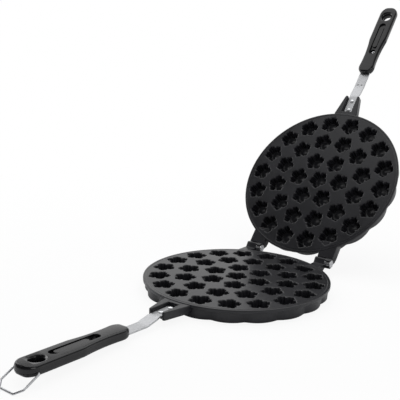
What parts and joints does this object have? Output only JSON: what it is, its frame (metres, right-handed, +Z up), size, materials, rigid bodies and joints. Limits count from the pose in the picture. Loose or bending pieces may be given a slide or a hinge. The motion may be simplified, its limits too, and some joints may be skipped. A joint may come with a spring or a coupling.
{
  "type": "egg waffle pan",
  "caption": "Hinged round waffle pan with coated plates, flower-shaped cups, a fluted rim, steel straps, resin grips and a wire bail that locks the grips together.",
  "frame": {"origin": "centre of the lower plate's flat back, which lies on the table", "axes": "+Z up out of the lower plate's cups, +Y towards the hinge, -Y along the lower grip, +X to the right seen from the grip"},
  "size_m": [0.2, 0.652, 0.315],
  "materials": {
    "plate_coating": "cast, with a satin non-stick coating",
    "strap_steel": "polished strip",
    "rivet_steel": "polished",
    "pin_steel": "bright",
    "grip_resin": "glossy phenolic resin",
    "screw_steel": "bright",
    "bail_wire": "drawn wire"
  },
  "bodies": {
    "lower_half": {"lower_plate": "plate_coating", "hinge_pin_left": "pin_steel", "hinge_pin_right": "pin_steel", "lower_strap": "strap_steel", "lower_rivet_front": "rivet_steel", "lower_rivet_rear": "rivet_steel", "lower_grip": "grip_resin", "lower_grip_screw": "screw_steel"},
    "upper_half": {"upper_plate": "plate_coating", "upper_strap": "strap_steel", "upper_rivet_front": "rivet_steel", "upper_rivet_rear": "rivet_steel", "upper_grip": "grip_resin", "upper_grip_screw": "screw_steel"},
    "bail_loop": {"bail": "bail_wire"}
  },
  "joints": [
    {"name": "lid_hinge", "type": "hinge", "parent": "lower_half", "child": "upper_half", "pos_m": [0, 0.105, 0.0147], "axis": [1, 0, 0], "range_deg": [0, 128.6]},
    {"name": "bail_pivot", "type": "hinge", "parent": "lower_half", "child": "bail_loop", "pos_m": [0, -0.27425, 0.0109], "axis": [1, 0, 0], "range_deg": [-138, 135]}
  ]
}
